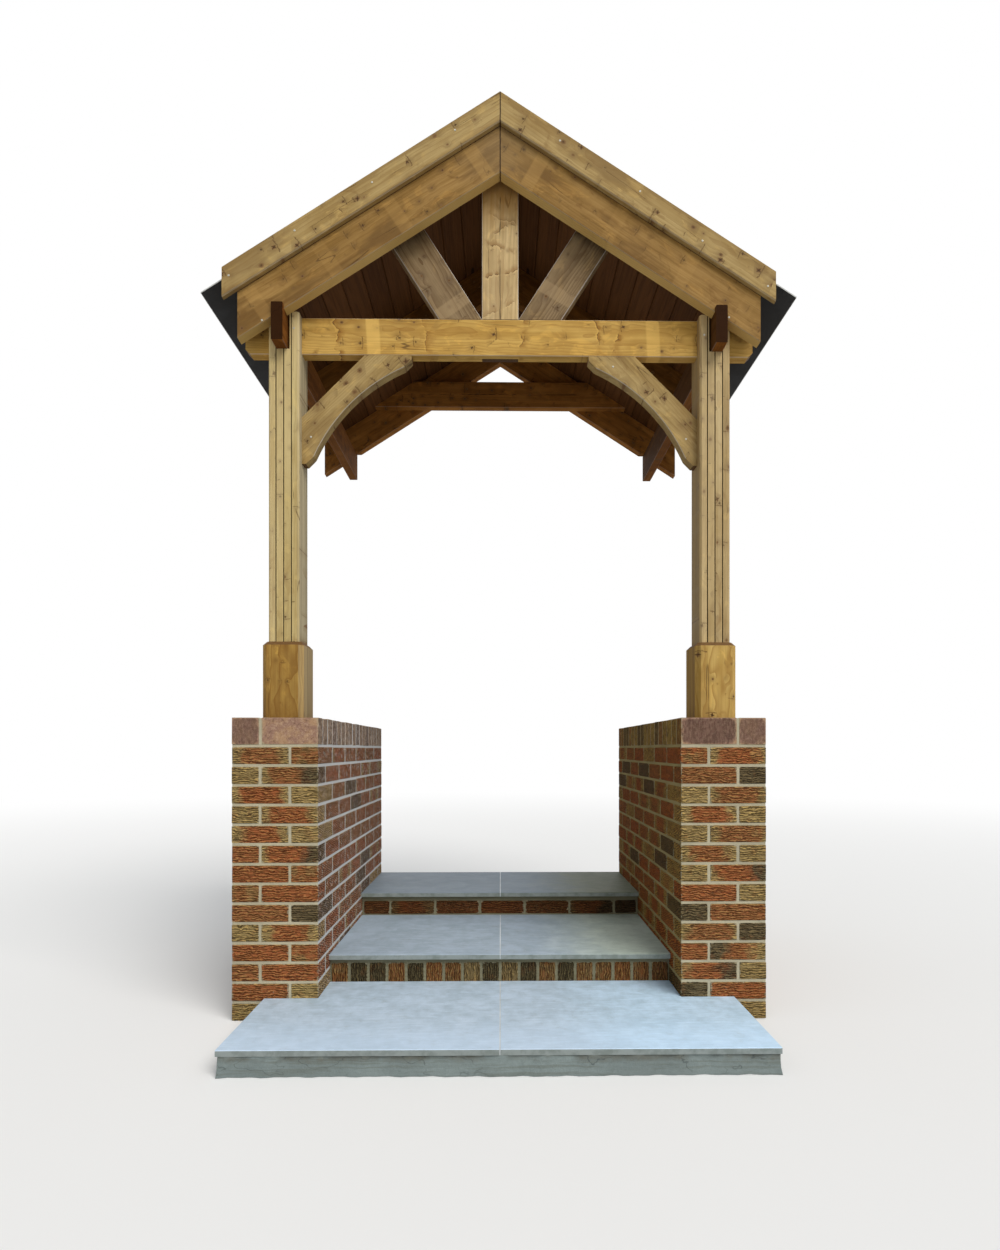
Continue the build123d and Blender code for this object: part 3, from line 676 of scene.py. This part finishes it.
# Painted shade of each tread, deeper towards the house, and its right-hand tint: painted light on the lower
# and middle treads, painted shade on the upper
slab_tones = {"lower": (1.0, (1.10, 1.18, 1.21)), "middle": (0.71, (1.32, 1.25, 0.92)),
              "upper": (0.41, (0.87, 0.80, 0.47))}
for level, tones in slab_tones.items():
    dress(slab_finish(f"{level}_slab", *tones), f"{level}_tread_left", f"{level}_tread_right")
dress(sheet_finish("black_eaves_sheet"), "eaves_sheet_left", "eaves_sheet_right")
dress(ridge_finish("folded_ridge_sheet"), "ridge_cap")


# Shapes
def make_piece(name, points, faces, material, replaced=(), attributes=None, smooth=False):
    """Puts points and faces into a mesh that rides on the porch, kept above z = 0 and before its back."""
    y, z = np.minimum(points[:, 1], wall_y), np.maximum(points[:, 2], 0.0)
    points = np.column_stack([points[:, 0], y, z])
    mesh = bpy.data.meshes.new(name)
    mesh.from_pydata(points.tolist(), [], faces)
    for key, values in (attributes or {}).items():
        kind = "FLOAT_VECTOR" if values.ndim == 2 else "FLOAT"
        layer = mesh.attributes.new(key, kind, "POINT")
        layer.data.foreach_set("vector" if values.ndim == 2 else "value", values.astype(np.float32).ravel())
    mesh.materials.append(material)
    mesh.polygons.foreach_set("use_smooth", [smooth] * len(mesh.polygons))
    piece = bpy.data.objects.new(name, mesh)
    scene.collection.objects.link(piece)
    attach(piece, "root")
    if replaced:
        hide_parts(*replaced)
    return piece


rounding = 0.25


def block_template():
    """Corner points, from -1 to 1, and faces of a box with rounded arrises."""
    shape = bmesh.new()
    bmesh.ops.create_cube(shape, size=2.0)
    bmesh.ops.bevel(shape, geom=shape.edges[:], offset=rounding, segments=2, profile=0.5, affect="EDGES")
    points = np.array([vertex.co[:] for vertex in shape.verts])
    faces = [[vertex.index for vertex in face.verts] for face in shape.faces]
    shape.free()
    return points, faces


template_points, template_faces = block_template()


def blocks(boxes, arris, wobble, seed):
    """Rounded blocks, one for each box of two opposite corners: the template's middle is stretched to the
    box and its rounding kept at the arris, then each block is shifted and its corners moved a little."""
    rng = np.random.default_rng(seed)
    boxes = np.asarray(boxes, float)
    centre = (boxes[:, 0] + boxes[:, 1]) / 2
    half = (boxes[:, 1] - boxes[:, 0]) / 2
    sign = np.sign(template_points)
    rounded = (template_points - sign * (1 - rounding)) * (arris / rounding)
    local = sign[None] * (half[:, None] - arris) + rounded[None]
    corner = rng.normal(0, wobble * 0.4, local.shape)
    shift = rng.normal(0, wobble * 0.5, (len(boxes), 1, 3))
    points = (centre[:, None] + local + np.clip(corner, -wobble, wobble) + np.clip(shift, -wobble, wobble))
    spot = local / half[:, None]
    way = np.take_along_axis(spot, half.argmax(axis=1)[:, None, None], axis=2)
    count = len(template_points)
    faces = [[i + n * count for i in face] for n in range(len(boxes)) for face in template_faces]
    chance = np.repeat(rng.random(len(boxes)), count)
    return points.reshape(-1, 3), faces, {"spot": spot.reshape(-1, 3), "way": way.ravel(), "chance": chance}


def rough_block(low, high, step, depth, seed, flare=0.0, side_depth=None):
    """A closed box of small squares whose points are pushed outwards by a sum of slow waves, less at the
    sides where a side depth is given; the flare spreads its foot."""
    low, high = np.asarray(low, float), np.asarray(high, float)
    counts = np.maximum(1, np.round((high - low) / step)).astype(int)
    shape = bmesh.new()
    for axis in range(3):
        a, b = [i for i in range(3) if i != axis]
        steps = [np.linspace(0, 1, counts[i] + 1) for i in (a, b)]
        s, t = np.meshgrid(*steps, indexing="ij")
        for end in (0, 1):
            grid = np.zeros(s.shape + (3,))
            grid[..., a], grid[..., b], grid[..., axis] = s, t, end
            points = (low + grid * (high - low)).reshape(-1, 3)
            made = [shape.verts.new(p) for p in points.tolist()]
            wide = counts[b] + 1
            for i in range(counts[a]):
                for j in range(counts[b]):
                    k = i * wide + j
                    shape.faces.new([made[k], made[k + wide], made[k + wide + 1], made[k + 1]])
    bmesh.ops.remove_doubles(shape, verts=shape.verts[:], dist=1e-5)
    bmesh.ops.recalc_face_normals(shape, faces=shape.faces[:])
    shape.verts.index_update()
    points = np.array([vertex.co[:] for vertex in shape.verts])
    faces = [[vertex.index for vertex in face.verts] for face in shape.faces]
    shape.free()
    rng = np.random.default_rng(seed)
    push = np.zeros(points.shape)
    for scale in (9.0, 23.0, 61.0):
        turn = rng.normal(0, scale, (3, 3))
        push += np.sin(points @ turn + rng.random(3) * 6.28) / 3
    middle, half = (low + high) / 2, (high - low) / 2
    outward = ((points - middle) / half) ** 9
    foot = np.clip(1 - (points[:, 2:] - low[2]) / (high[2] - low[2]), 0, 1) ** 2
    depths = np.array([depth if side_depth is None else side_depth, depth])
    points[:, :2] += outward[:, :2] * (push[:, :2] * depths + foot * flare)
    points[:, 2] += outward[:, 2] * push[:, 2] * depth * (points[:, 2] > low[2] + 1e-4) * 0.3
    return points, faces


def mirrored(boxes, sign):
    """Boxes of the right-hand side, or their mirror images on the left."""
    boxes = np.array(boxes, float)
    if sign < 0:
        boxes[:, :, 0] = -boxes[:, ::-1, 0]
    return boxes


def leaf_span(leaf, width):
    """Both sides of a strip of this width along a wall's inner face (leaf 0) or outer face (leaf 1)."""
    return (plinth_outer - width, plinth_outer) if leaf else (plinth_inner, plinth_inner + width)


def plinth_boxes():
    """Stretcher and header at the front and the back of each course, swapped from course to course, and a
    leaf of stretchers between them on each side."""
    boxes = []
    for k in range(course_count):
        low, high = k * course, k * course + brick_height
        for leaf in (0, 1):
            across = leaf_span(leaf, brick_width)
            if k % 2 == leaf:
                wide = leaf_span(leaf, brick_length)
                near, far = plinth_front + brick_width, wall_y - brick_width
                start, stop = near + joint, far - joint
                laid = [(wide, plinth_front, near), (wide, far, wall_y)]
            else:
                start, stop = plinth_front + pitch_along, wall_y
                laid = [(across, plinth_front, plinth_front + brick_length)]
            while start < stop - shortest_brick:
                end = stop if stop - start < brick_length + shortest_brick else start + brick_length
                laid.append((across, start, end))
                start += pitch_along
            boxes += [((x[0], a, low), (x[1], b, high)) for x, a, b in laid]
    return boxes


def coping_boxes():
    """Bricks on edge across the wall: a whole one and a half one in turn on either side."""
    boxes = []
    for k in range(coping_count):
        near = plinth_front + k * course
        far = wall_y if k == coping_count - 1 else near + brick_height
        split = plinth_inner + (brick_length if k % 2 == 0 else brick_width)
        for a, b in ((plinth_inner, split), (split + joint, plinth_outer)):
            boxes.append(((a, near, plinth_top), (b, far, plinth_top + brick_width)))
    return boxes


# Redness of a stretcher and of a header for each letter; darkness, and how it rises to the right
brick_red = {"b": (0.0, 0.0), "m": (0.7, 1.9), "r": (1.0, 2.2), "R": (2.2, 3.0), "d": (0.0, 0.0),
             "o": (1.0, 2.2), "l": (0.4, 1.5)}
brick_dark = {"d": (0.9, 0.0), "o": (0.0, 0.9), "l": (0.0, -0.9)}


def bricks(boxes, wobble, seeds, letters, red_share=0.6, dark_share=0.12):
    """Bricks in their boxes, each with a redness and a darkness. Some have letters: b buff, m mixed, r red
    in the middle, R red all over, d dark, o red with a dark right end, l with a dark left end; the rest is
    left to chance."""
    points, faces, extra = blocks(boxes, brick_arris, wobble, seeds[0])
    rng = np.random.default_rng(seeds[1])
    total = len(boxes)
    reddish = rng.random(total) < red_share
    red = np.where(reddish, rng.uniform(1.2, 2.6, total), rng.uniform(0.0, 1.0, total))
    level = np.where(rng.random(total) < dark_share, 0.8, -1.0)
    slope = np.zeros(total)
    for index, letter in letters.items():
        low, high = boxes[index]
        red[index] = brick_red[letter][int(high[0] - low[0] < longest_header)]
        level[index], slope[index] = brick_dark.get(letter, (-1.0, 0.0))
    count = len(template_points)
    extra["red"] = np.repeat(red, count)
    extra["dark"] = np.repeat(level, count) + np.repeat(slope, count) * extra["way"]
    return points, faces, extra


def front_letters(boxes, rows, middle):
    """Letters of the bricks at a wall's front: a row for each course from the top, left then right."""
    letters = {}
    for index, (low, high) in enumerate(boxes):
        if low[1] < plinth_front + 0.001:
            row = rows[course_count - 1 - round(low[2] / course)]
            letters[index] = row[int((low[0] + high[0]) / 2 > middle)]
    return letters


brick_rows = {"left": "rm bo rb br mb Ro Rm mR Rd bm Rm RR Rb br".split(),
              "right": "mr Rd br mb br mb bo Rb dR rd Rl ob dR Rb".split()}
# Tints of the sides towards the middle: side, colour, strength and blend; on the right wall the brick and
# joint tints are painted shade, on the left the pale bluish joint tint is painted light
inner_bricks = {"left": (-1, (0.30, 0.17, 0.19), 0.16, "MIX"),
                "right": (1, (0.84, 0.70, 0.46), 1.0, "MULTIPLY")}
inner_copings = {"left": (-1, (0.51, 0.39, 0.36), 0.40, "MIX"),
                 "right": (1, (1.12, 1.04, 0.56), 1.0, "MULTIPLY")}
inner_joints = {"left": (-1, (0.64, 0.65, 0.68), 0.78, "MIX"),
                "right": (1, (0.66, 0.57, 0.36), 1.0, "MULTIPLY")}
side_red = {"left": (0.85, 0.08), "right": (0.62, 0.14)}
brick_wobble, step_wobble, mortar_step, mortar_depth = 0.0008, 0.0012, 0.03, 0.0006


def mortar_body(bottom, top, sign, seed):
    """Points and faces of the mortar behind the brick faces of one wall, between two heights."""
    body = ((plinth_inner + side_recess, plinth_front + front_recess, bottom),
            (plinth_outer - side_recess, wall_y - front_recess, top))
    low, high = mirrored([body], sign)[0]
    return rough_block(low, high, mortar_step, mortar_depth, seed, side_depth=0.0002)


def wall_pieces(number, side, sign):
    """Bricks and mortar of one dwarf wall and of its coping."""
    wall_brick = brick_finish(
        f"wall_brick_{side}", 2, (0.335, 0.235, 0.096), (0.335, 0.102, 0.036), (0.085, 0.066, 0.040),
        lean=0.35, inner=inner_bricks[side])
    coping_brick = brick_finish(
        f"coping_brick_{side}", 1, (0.28, 0.19, 0.10), (0.25, 0.11, 0.06), (0.11, 0.075, 0.05),
        bed_face=True, inner=inner_copings[side])
    mortar = mortar_finish(f"wall_mortar_{side}", inner=inner_joints[side])
    plinth, coping = (f"plinth_{side}",), (f"coping_{side}",)
    boxes = mirrored(plinth_boxes(), sign)
    letters = front_letters(boxes, brick_rows[side], sign * (plinth_inner + plinth_outer) / 2)
    seeds = (5 + number, 7 + number)
    points, faces, extra = bricks(boxes, brick_wobble, seeds, letters, *side_red[side])
    make_piece(f"plinth_bricks_{side}", points, faces, wall_brick, plinth, extra)
    points, faces = mortar_body(0, plinth_top, sign, 11 + number)
    make_piece(f"plinth_mortar_{side}", points, faces, mortar, plinth)
    boxes = mirrored(coping_boxes(), sign)
    points, faces, extra = bricks(boxes, brick_wobble, (15 + number, 17 + number), {}, 0.5, 0.2)
    smudges = np.random.default_rng(19).random(2 * coping_count)
    smudges[:2] = ((0.05, 0.8), (0.95, 0.8))[number]
    extra["smudge"] = np.repeat(smudges, len(template_points))
    make_piece(f"coping_bricks_{side}", points, faces, coping_brick, coping, extra)
    points, faces = mortar_body(plinth_top - 0.001, plinth_top + brick_width - 0.002, sign, 21 + number)
    make_piece(f"coping_mortar_{side}", points, faces, mortar, coping)


for number, (side, sign) in enumerate(sides):
    wall_pieces(number, side, sign)

# Step mortar: its dark olive tint is partly painted shade under the treads
step_mortar = mortar_finish("step_mortar", (0.24, 0.22, 0.14), 0.3)


def step_piece(level, boxes, finish, letters, seeds, mortar_seed):
    """Bricks of one riser, and the mortar between and behind them."""
    replaced = (f"{level}_step_brickwork",)
    points, faces, extra = bricks(boxes, step_wobble, seeds, dict(enumerate(letters)))
    make_piece(f"{level}_riser_bricks", points, faces, finish, replaced, extra)
    (x, y, z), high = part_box(replaced[0])
    points, faces = rough_block((x, y + front_recess, z), high, mortar_step, step_wobble, mortar_seed)
    make_piece(f"{level}_step_infill", points, faces, step_mortar, replaced)


def riser_pieces():
    """Bricks on edge under the middle tread, and a course of stretchers, the first one cut, above it."""
    low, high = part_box("middle_step_brickwork")
    letters = "mddRdRmbdbdmdmmRmR"
    pitch = (high[0] - low[0]) / len(letters)
    top = high[2] - middle_bed
    boxes = [((low[0] + k * pitch + joint / 2, low[1], top - brick_width),
              (low[0] + (k + 1) * pitch - joint / 2, low[1] + brick_length, top))
             for k in range(len(letters))]
    # Middle riser bricks: tones darkened as painted shade under the tread's nosing
    finish = brick_finish("step_brick", 0, (0.20, 0.14, 0.062), (0.21, 0.078, 0.026), (0.045, 0.038, 0.021))
    step_piece("middle", boxes, finish, letters, (41, 49), 43)
    low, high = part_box("upper_step_brickwork")
    top = high[2] - upper_bed
    start, length, boxes = low[0] + joint, first_upper_brick, []
    while start < high[0] - 0.03:
        end = min(start + length, high[0] - joint)
        boxes.append(((start, low[1], top - brick_height), (end, low[1] + brick_width, top)))
        start, length = end + joint, brick_length
    # Upper riser bricks: tones darkened further as painted shade deep under the canopy
    finish = brick_finish(
        "riser_brick", 2, (0.105, 0.060, 0.024), (0.115, 0.034, 0.011), (0.040, 0.026, 0.015))
    step_piece("upper", boxes, finish, "RmRRRod", (45, 46), 47)


riser_pieces()


def bed_piece():
    """Rough mortar bed under the lowest slabs, spread at its foot."""
    low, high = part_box("lower_step_bed")
    points, faces = rough_block(low, (high[0], plinth_front - 0.001, high[2]), 0.02, 0.006, 51, 0.006)
    tongue_low, tongue_high = (-plinth_inner, plinth_front - 0.002, 0), (plinth_inner, high[1], high[2])
    tongue_points, tongue_faces = rough_block(tongue_low, tongue_high, 0.05, 0.0, 53)
    faces = faces + [[i + len(points) for i in face] for face in tongue_faces]
    points = np.vstack([points, tongue_points])
    # The brown band just under the bed's top is painted shade under the lowest slabs
    finish = mortar_finish("bed_mortar", (0.285, 0.340, 0.335), 0.45, None, high[2])
    make_piece("step_bed_mortar", points, faces, finish, ("lower_step_bed",))


bed_piece()


def slate_pieces():
    """Slates laid in courses, each tail on the head of the course below, joints broken by half a slate."""
    finish = slate_finish("roof_slate")
    gauge = bargeboard_tail / slate_rows
    width = (wall_y - slate_front) / 5
    for number, (side, sign) in enumerate(sides):
        boxes = []
        for k in range(1, slate_rows + 1):
            tail = (k * gauge - 0.052) / slope_cos
            head = max(tail - gauge / slope_cos - 0.07, -0.055)
            edges = [slate_front + width * (i + (0.5 if k % 2 else 0.0)) for i in range(6)]
            edges = sorted({slate_front, wall_y, *[e for e in edges if slate_front < e < wall_y]})
            for a, b in zip(edges[:-1], edges[1:]):
                boxes.append(((head, a + 0.0015, 0.0), (tail, b - 0.0015, slate_thickness)))
        points, faces, extra = blocks(boxes, 0.0012, 0.0006, 61 + number)
        tails = np.repeat([box[1][0] for box in boxes], len(template_points))
        tilt = (points[:, 0] - tails) * (0.006 * slope_cos / gauge)
        lift = slate_bed + slate_thickness + tilt + points[:, 2]
        u = points[:, 0]
        x = u * slope_cos + lift * slope_sin
        z = rafter_top_at_ridge - u * slope_sin + lift * slope_cos
        placed = np.column_stack([x * sign, points[:, 1], z])
        if sign < 0:
            faces = [face[::-1] for face in faces]
        make_piece(f"roof_slates_{side}", placed, faces, finish, (f"slates_{side}",), extra)


slate_pieces()


def grout_strips():
    """Pale grout in the joint between the two slabs of each tread."""
    boxes = []
    for level in ("lower", "middle", "upper"):
        low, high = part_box(f"{level}_tread_right")
        half = low[0] + 0.0003
        boxes.append(((-half, low[1] + 0.002, low[2]), (half, high[1], high[2] - 0.0006)))
    points, faces = blocks(boxes, 0.0005, 0.0, 71)[:2]
    make_piece("tread_grout", points, faces, mortar_finish("pale_grout", (0.74, 0.78, 0.80)))


grout_strips()


# Pixels of the screw heads, and the piece in whose front each of them sits
screw_pixels = {
    "post_right": ((293.8, 329.6), (704.3, 333.4)),
    "front_rafter_right": ((729.0, 315.7), (262.0, 322.0)),
    "bargeboard_right": ((228.5, 277.6), (294.5, 232.4), (372.0, 183.5), (455.0, 130.5), (768.0, 284.0),
                         (560.0, 140.0), (640.0, 190.0), (702.5, 239.0)),
    "tie_beam": ((613.0, 366.0), (686.0, 438.0), (311.0, 438.0))}


def seen_at(pixel_x, pixel_y, depth):
    """The point at this depth that shows at this pixel of the frame."""
    reach = depth - camera.location[1]
    turn = math.atan((pixel_x - centre_across) / focal) + camera_turn
    up = reach * (centre_down - pixel_y) / focal
    return camera.location[0] + reach * math.tan(turn), depth, camera.location[2] + up


def screw_heads():
    """Low domed screw heads with a dimple: a profile of radius and height turned round each axis."""
    spots = [seen_at(*pixel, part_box(node)[0][1])
             for node, pixels in screw_pixels.items() for pixel in pixels]
    radius = np.array([0.0, 0.0012, 0.0018, 0.0030, 0.0040, 0.0042])
    lift = np.array([0.0004, 0.0005, 0.0014, 0.0012, 0.0007, -0.0005])
    turns = 12
    angle = np.linspace(0, 2 * np.pi, turns, endpoint=False)
    out, depth = radius[1:, None], -np.repeat(lift[1:, None], turns, 1)
    ring = np.stack([out * np.cos(angle), depth, out * np.sin(angle)], -1)
    one = np.vstack([[[0, -lift[0], 0]], ring.reshape(-1, 3)])
    pairs = [(i, (i + 1) % turns) for i in range(turns)]
    wheel = [[0, 1 + i, 1 + j] for i, j in pairs]
    for a in range(1, 4 * turns, turns):
        wheel += [[a + i, a + turns + i, a + turns + j, a + j] for i, j in pairs]
    wheel.append([1 + 4 * turns + i for i in reversed(range(turns))])
    points = (np.array(spots)[:, None] + one[None]).reshape(-1, 3)
    faces = [[i + n * len(one) for i in face] for n in range(len(spots)) for face in wheel]
    f, place = new_finish("zinc_screw", 0.5, 0.3)
    bloom = f.noise(place, 900.0, 2.0)
    colour = f.mix(bloom, (0.46, 0.43, 0.34), (0.62, 0.60, 0.52))
    finish = f.finish(colour, bloom * 0.3 + 0.4, bloom, 0.0002)
    make_piece("screw_heads", points, faces, finish, smooth=True)


screw_heads()
